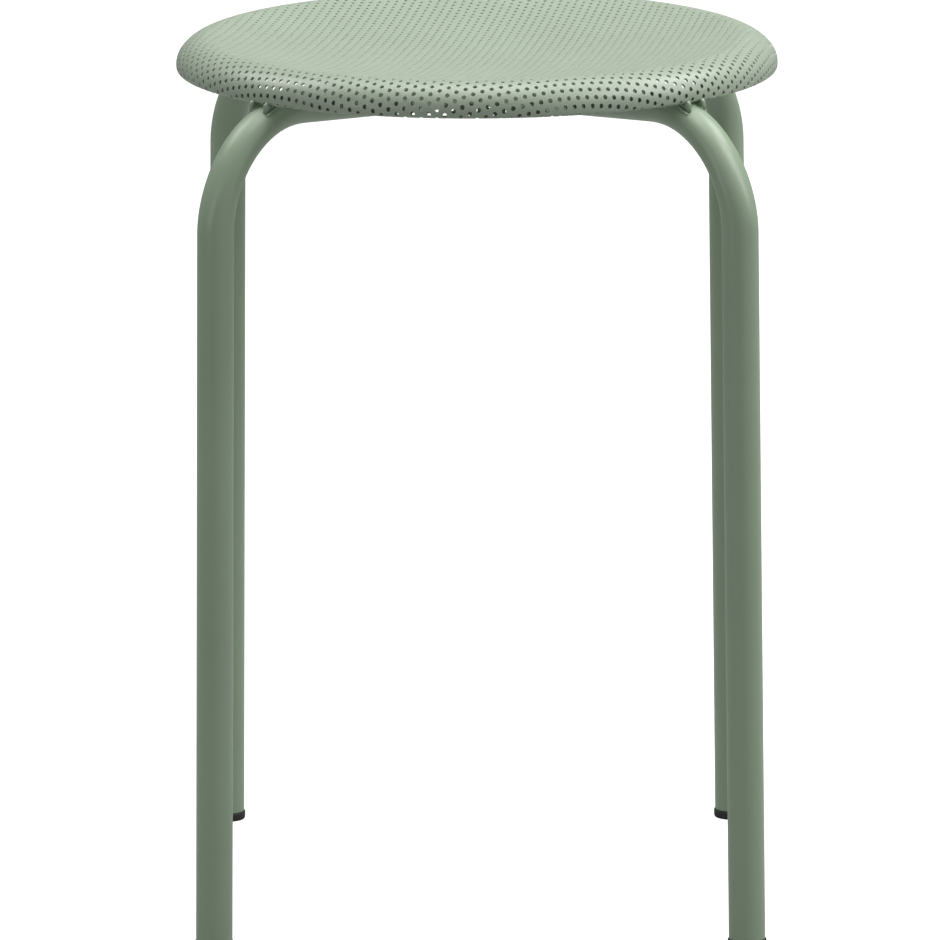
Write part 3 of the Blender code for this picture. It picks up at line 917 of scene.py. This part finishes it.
class STOOL_OT_foot_caps(bpy.types.Operator):
    """Moulds the plugs under the legs"""

    bl_idname = "stool.foot_caps"
    bl_label = "Foot Caps"

    def execute(self, context):
        tubes, caps, hoop = in_use().frame, in_use().caps, hoop_shape()
        finish = moulded_plastic()
        head = hoop.radius + caps.overhang
        rib = hoop.radius - tubes.wall - GAP
        stem = rib - caps.rib
        spare = head * math.tan(tubes.leg_splay) + GAP
        outline = [(0, -spare)]
        outline += arc(head - caps.edge, caps.edge - spare, caps.edge, -math.pi / 2, 0, caps.edge_steps)
        outline += arc(head - caps.lip, caps.head - caps.lip, caps.lip, 0, math.pi / 2, caps.edge_steps)
        outline += [(stem, caps.head)]
        for number in range(1, caps.ribs + 1):
            level = caps.head + caps.stem / (caps.ribs + 1) * number
            outline += [(stem, level - caps.rib), (rib, level), (stem, level + caps.rib)]
        top = caps.head + caps.stem
        outline += [(stem, top - caps.rib), (stem - caps.rib, top), (0, top)]
        lean = Matrix.Translation((hoop.leg_foot, 0, 0)) @ Matrix.Rotation(-tubes.leg_splay, 4, "Y")
        for corner, turn in CORNERS.items():
            bm = turned(outline, caps.sides)
            bmesh.ops.transform(bm, matrix=lean, verts=bm.verts)
            cut = bmesh.ops.bisect_plane(bm, geom=everything(bm), plane_co=(0, 0, 0),
                                         plane_no=(0, 0, -1), clear_outer=True)
            bmesh.ops.contextual_create(bm, geom=only(bmesh.types.BMEdge, cut["geom_cut"]))
            bmesh.ops.recalc_face_normals(bm, faces=bm.faces)
            cap = made(f"foot_cap_moulded_{corner}", bm, finish, turn)
            fitted(cap, "cap_plastic", f"foot_cap_{corner}")
        return {"FINISHED"}


def softbox(name, place, size, power):
    """A flat light that faces the stool."""
    lamp = bpy.data.lights.new(name, "AREA")
    lamp.shape = "RECTANGLE"
    lamp.size, lamp.size_y = size
    lamp.energy = power
    item = bpy.data.objects.new(name, lamp)
    item.location = place
    towards = Vector(LIT_POINT) - Vector(place)
    item.rotation_euler = towards.to_track_quat("-Z", "Y").to_euler()
    bpy.context.scene.collection.objects.link(item)


def pale_floor():
    """The floor under the stool, which the camera sees as nearly white."""
    studio = in_use().studio
    bm = bmesh.new()
    bmesh.ops.create_circle(bm, segments=studio.floor_sides, radius=studio.floor_radius,
                            cap_ends=True)
    material = bpy.data.materials.new("Pale Floor")
    material.use_nodes = True
    tree = material.node_tree
    shader = tree.nodes["Principled BSDF"]
    shader.inputs["Base Color"].default_value = (studio.floor, studio.floor, studio.floor, 1.0)
    shader.inputs["Roughness"].default_value = 0.9
    shader.inputs["Specular IOR Level"].default_value = 0.1
    glow = tree.nodes.new("ShaderNodeEmission")
    glow.inputs["Strength"].default_value = studio.floor_glow
    both = tree.nodes.new("ShaderNodeAddShader")
    seen = tree.nodes.new("ShaderNodeLightPath")
    pick = tree.nodes.new("ShaderNodeMixShader")
    tree.links.new(shader.outputs[0], both.inputs[0])
    tree.links.new(glow.outputs[0], both.inputs[1])
    tree.links.new(seen.outputs["Is Camera Ray"], pick.inputs[0])
    tree.links.new(shader.outputs[0], pick.inputs[1])
    tree.links.new(both.outputs[0], pick.inputs[2])
    tree.links.new(pick.outputs[0], tree.nodes["Material Output"].inputs["Surface"])
    floor = made("studio_floor", bm, material)


def white_room():
    """A room that the camera sees white and the stool sees dim."""
    world = bpy.data.worlds.new("Studio")
    world.use_nodes = True
    tree = world.node_tree
    dim = tree.nodes["Background"]
    dim.inputs["Color"].default_value = (1, 1, 1, 1)
    dim.inputs["Strength"].default_value = in_use().studio.fill
    bright = tree.nodes.new("ShaderNodeBackground")
    bright.inputs["Strength"].default_value = 1.0
    bright.inputs["Color"].default_value = (1, 1, 1, 1)
    seen = tree.nodes.new("ShaderNodeLightPath")
    pick = tree.nodes.new("ShaderNodeMixShader")
    tree.links.new(seen.outputs["Is Camera Ray"], pick.inputs[0])
    tree.links.new(dim.outputs[0], pick.inputs[1])
    tree.links.new(bright.outputs[0], pick.inputs[2])
    tree.links.new(pick.outputs[0], tree.nodes["World Output"].inputs["Surface"])
    bpy.context.scene.world = world


def camera():
    """A long lens in front, a little over the horizon."""
    studio = in_use().studio
    lens = bpy.data.cameras.new("Camera")
    lens.lens = studio.lens
    lens.sensor_width = SENSOR
    lens.clip_end = FAR_LIMIT
    item = bpy.data.objects.new("Camera", lens)
    aim = Vector((studio.aim_across, 0, studio.aim_height))
    back = Vector((0, -math.cos(studio.elevation), math.sin(studio.elevation)))
    look = (-back).to_track_quat("-Z", "Y").to_matrix().to_4x4()
    roll = Matrix.Rotation(studio.roll, 4, "Z")
    item.matrix_world = Matrix.Translation(aim + back * studio.distance) @ look @ roll
    bpy.context.scene.collection.objects.link(item)
    bpy.context.scene.camera = item


class STOOL_OT_studio(bpy.types.Operator):
    """Lays the floor and sets the lights and the camera"""

    bl_idname = "stool.studio"
    bl_label = "Studio"

    def execute(self, context):
        studio = in_use().studio
        context.scene.view_settings.view_transform = "Standard"
        white_room()
        pale_floor()
        # Place, width and height, and power
        lamps = {
            "Overhead": ((0, 0, 2.4), (1.2, 1.2), studio.top_light),
            "Behind Overhead": ((0, 0.7, 2.3), (1.2, 1.2), studio.middle_light),
            "Back Right": ((1.2, 0.7, 2.0), (0.8, 0.8), studio.back_right_light),
            "Back Left": ((-1.2, 0.7, 2.0), (0.8, 0.8), studio.back_left_light),
            "Right": ((1.3, -0.3, 1.9), (0.8, 0.8), studio.right_light),
            "Low Right": ((1.9, -0.2, 1.4), (0.6, 1.0), studio.low_right_light),
            "Front Left": ((-1.8, -1.8, 1.0), (0.8, 1.2), studio.front_left_light),
            "Front Right": ((1.8, -1.8, 1.0), (0.8, 1.2), studio.front_right_light),
        }
        for name, (place, size, power) in lamps.items():
            softbox(name, place, size, power)
        camera()
        return {"FINISHED"}


PIECES = (STOOL_OT_seat_pan, STOOL_OT_frame_tubes, STOOL_OT_seat_lugs, STOOL_OT_foot_caps,
          STOOL_OT_studio)
GROUPS = {
    "stool_seat": SeatSizes,
    "stool_frame": FrameSizes,
    "stool_lugs": LugSizes,
    "stool_caps": CapSizes,
    "stool_finishes": Finishes,
    "stool_studio": StudioSettings,
}


class STOOL_PT_sidebar(bpy.types.Panel):
    """The stool's pieces and settings"""

    bl_idname = "STOOL_PT_sidebar"
    bl_label = "Stool"
    bl_space_type = "VIEW_3D"
    bl_region_type = "UI"
    bl_category = "Stool"

    def draw(self, context):
        for piece in PIECES:
            self.layout.operator(piece.bl_idname)
        for name, group in GROUPS.items():
            box = self.layout.box()
            box.label(text=group.__doc__)
            for title in group.__annotations__:
                box.prop(getattr(context.scene, name), title)


def register():
    for group in GROUPS.values():
        bpy.utils.register_class(group)
    for piece in PIECES:
        bpy.utils.register_class(piece)
    bpy.utils.register_class(STOOL_PT_sidebar)
    for name, group in GROUPS.items():
        setattr(bpy.types.Scene, name, PointerProperty(type=group))


def unregister():
    for name in GROUPS:
        delattr(bpy.types.Scene, name)
    bpy.utils.unregister_class(STOOL_PT_sidebar)
    for piece in reversed(PIECES):
        bpy.utils.unregister_class(piece)
    for group in reversed(GROUPS.values()):
        bpy.utils.unregister_class(group)


def main():
    register()
    bpy.ops.stool.seat_pan()
    bpy.ops.stool.frame_tubes()
    bpy.ops.stool.seat_lugs()
    bpy.ops.stool.foot_caps()
    bpy.ops.stool.studio()


if __name__ == "__main__":
    main()
